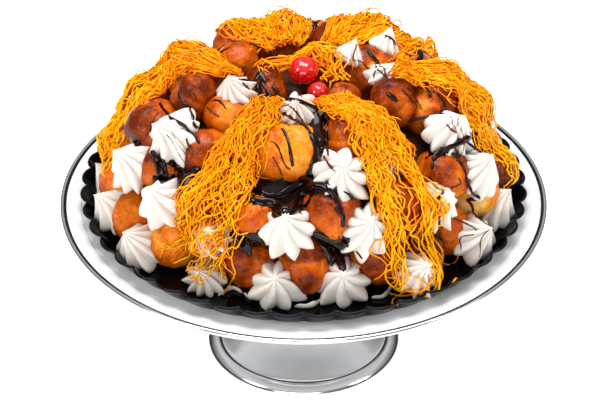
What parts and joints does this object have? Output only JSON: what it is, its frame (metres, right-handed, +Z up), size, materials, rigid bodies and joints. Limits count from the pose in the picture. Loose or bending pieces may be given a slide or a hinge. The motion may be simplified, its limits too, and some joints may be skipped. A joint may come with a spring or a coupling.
{
  "type": "croquembouche",
  "caption": "Low wide croquembouche of filled choux puffs and cream rosettes, with dark chocolate, draped egg threads and a cherry, on a scalloped tray and a steel cake stand.",
  "frame": {"origin": "on the floor in the middle of the cake stand's foot", "axes": "+Z up, -Y towards the front of the dessert, +X to its right"},
  "size_m": [0.3492, 0.3492, 0.2582],
  "materials": {
    "golden_choux": "baked choux pastry, golden to orange brown, satin egg-wash sheen",
    "whipped_cream": "piped whipped cream, soft satin",
    "egg_threads": "syrup-boiled egg yolk threads, moist sheen",
    "glace_cherry": "syrup-glazed cherry, high gloss",
    "black_plastic": "thermoformed black plastic, glossy",
    "polished_steel": "mirror-polished stainless steel"
  },
  "bodies": {
    "root": {"cherry_crown": "glace_cherry", "cherry_tucked": "glace_cherry", "hank_back_left": "egg_threads", "hank_back_right": "egg_threads", "hank_front_left": "egg_threads", "hank_front_right": "egg_threads", "hank_left": "egg_threads", "hank_right": "egg_threads", "heap_heart": "golden_choux", "puff_high_01": "golden_choux", "puff_high_02": "golden_choux", "puff_high_03": "golden_choux", "puff_high_04": "golden_choux", "puff_low_01": "golden_choux", "puff_low_02": "golden_choux", "puff_low_03": "golden_choux", "puff_low_04": "golden_choux", "puff_low_05": "golden_choux", "puff_low_06": "golden_choux", "puff_low_07": "golden_choux", "puff_low_08": "golden_choux", "puff_low_09": "golden_choux", "puff_low_10": "golden_choux", "puff_mid_01": "golden_choux", "puff_mid_02": "golden_choux", "puff_mid_03": "golden_choux", "puff_mid_04": "golden_choux", "puff_mid_05": "golden_choux", "puff_mid_06": "golden_choux", "puff_top_01": "golden_choux", "puff_top_02": "golden_choux", "puff_top_03": "golden_choux", "puff_top_04": "golden_choux", "puff_top_05": "golden_choux", "puff_top_06": "golden_choux", "puff_top_07": "golden_choux", "puff_top_08": "golden_choux", "puff_top_09": "golden_choux", "rosette_high_01": "whipped_cream", "rosette_high_02": "whipped_cream", "rosette_high_03": "whipped_cream", "rosette_low_01": "whipped_cream", "rosette_low_02": "whipped_cream", "rosette_low_03": "whipped_cream", "rosette_low_04": "whipped_cream", "rosette_low_05": "whipped_cream", "rosette_low_06": "whipped_cream", "rosette_low_07": "whipped_cream", "rosette_mid_01": "whipped_cream", "rosette_mid_02": "whipped_cream", "rosette_mid_03": "whipped_cream", "rosette_mid_04": "whipped_cream", "rosette_mid_05": "whipped_cream", "rosette_mid_06": "whipped_cream", "rosette_top_01": "whipped_cream", "rosette_top_02": "whipped_cream", "rosette_top_03": "whipped_cream", "stand_foot": "polished_steel", "stand_plate": "polished_steel", "tray": "black_plastic"}
  },
  "joints": []
}
